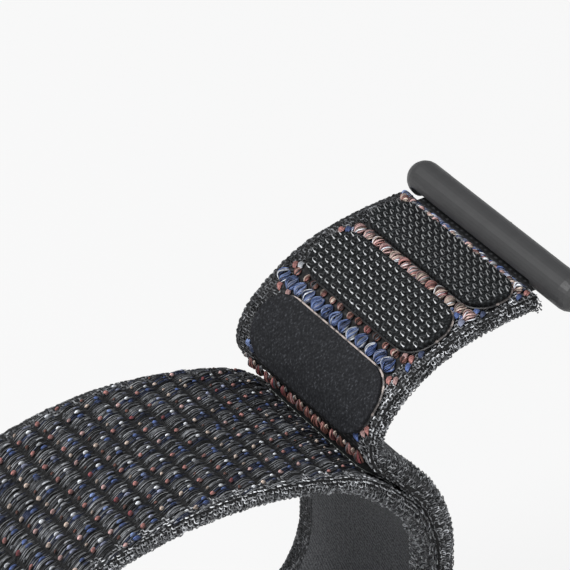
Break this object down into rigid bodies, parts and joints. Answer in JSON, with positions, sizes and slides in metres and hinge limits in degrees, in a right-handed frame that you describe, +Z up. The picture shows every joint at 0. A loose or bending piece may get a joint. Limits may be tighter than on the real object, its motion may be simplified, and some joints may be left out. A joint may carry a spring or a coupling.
{
  "type": "watch strap",
  "caption": "Woven nylon hook-and-loop watch strap: a band looped for the wrist, its padded tail peeled open, with a swivelling lug bar and sprung latch at each end.",
  "frame": {"origin": "centre of the bounding box's bottom face: the strap stands on the flats of its loop at z = 0", "axes": "+X from the loop towards the peeled tail and its lug bar, +Y across the band's width, +Z up"},
  "size_m": [0.0688, 0.0274, 0.0518],
  "materials": {
    "band_weave": "dense woven nylon in charcoal, with rows of pink, blue and white loops",
    "hook_pad": "near-black moulded hook tape",
    "weld_film": "thin light grey welding film, seen only as a line round each pad",
    "gunmetal": "smooth dark coated steel",
    "steel": "plain turned steel and wire"
  },
  "bodies": {
    "band": {"band_loop": "band_weave", "hook_pad_4": "hook_pad", "weld_film_4": "weld_film"},
    "tail_low": {"tail_panel_low": "band_weave", "hook_pad_3": "hook_pad", "weld_film_3": "weld_film"},
    "tail_mid": {"tail_panel_mid": "band_weave", "hook_pad_2": "hook_pad", "weld_film_2": "weld_film"},
    "tail_top": {"tail_panel_top": "band_weave", "hook_pad_1": "hook_pad", "weld_film_1": "weld_film"},
    "lug_1": {"lug_bar_1": "gunmetal", "strap_bar_1": "steel", "latch_collar_1": "steel", "latch_spring_1": "steel"},
    "latch_1": {"latch_pin_1": "gunmetal"},
    "lug_2": {"lug_bar_2": "gunmetal", "strap_bar_2": "steel", "latch_collar_2": "steel", "latch_spring_2": "steel"},
    "latch_2": {"latch_pin_2": "gunmetal"}
  },
  "joints": [
    {"name": "peel_fold", "type": "hinge", "parent": "band", "child": "tail_low", "pos_m": [0.0123, 0.002, 0.03803], "axis": [0, -1, 0], "range_deg": [-30, 60]},
    {"name": "peel_low_bend", "type": "hinge", "parent": "tail_low", "child": "tail_mid", "pos_m": [0.0166, 0.002, 0.04412], "axis": [0, -1, 0], "range_deg": [-22.5, 45]},
    {"name": "peel_high_bend", "type": "hinge", "parent": "tail_mid", "child": "tail_top", "pos_m": [0.02392, 0.002, 0.0471], "axis": [0, -1, 0], "range_deg": [-21, 42]},
    {"name": "lug_swivel_1", "type": "hinge", "parent": "tail_top", "child": "lug_1", "pos_m": [0.03251, 0, 0.04875], "axis": [0, 1, 0], "range_deg": [-12, 90]},
    {"name": "lug_swivel_2", "type": "hinge", "parent": "band", "child": "lug_2", "pos_m": [-0.00539, 0, 0.00354], "axis": [0, -1, 0], "range_deg": [-12, 90]},
    {"name": "latch_press_1", "type": "slide", "parent": "lug_1", "child": "latch_1", "axis": [-1, 0, 0], "range_m": [0, 0.0005], "stiffness_N_per_m": 300, "springref_m": -0.0003, "deforming": ["latch_spring_1"]},
    {"name": "latch_press_2", "type": "slide", "parent": "lug_2", "child": "latch_2", "axis": [-0.9063, 0, -0.4226], "range_m": [0, 0.0005], "stiffness_N_per_m": 300, "springref_m": -0.0003, "deforming": ["latch_spring_2"]}
  ],
  "couplings": [
    {"joint": "peel_low_bend", "follows": "peel_fold", "ratio": 0.75},
    {"joint": "peel_high_bend", "follows": "peel_fold", "ratio": 0.7}
  ]
}
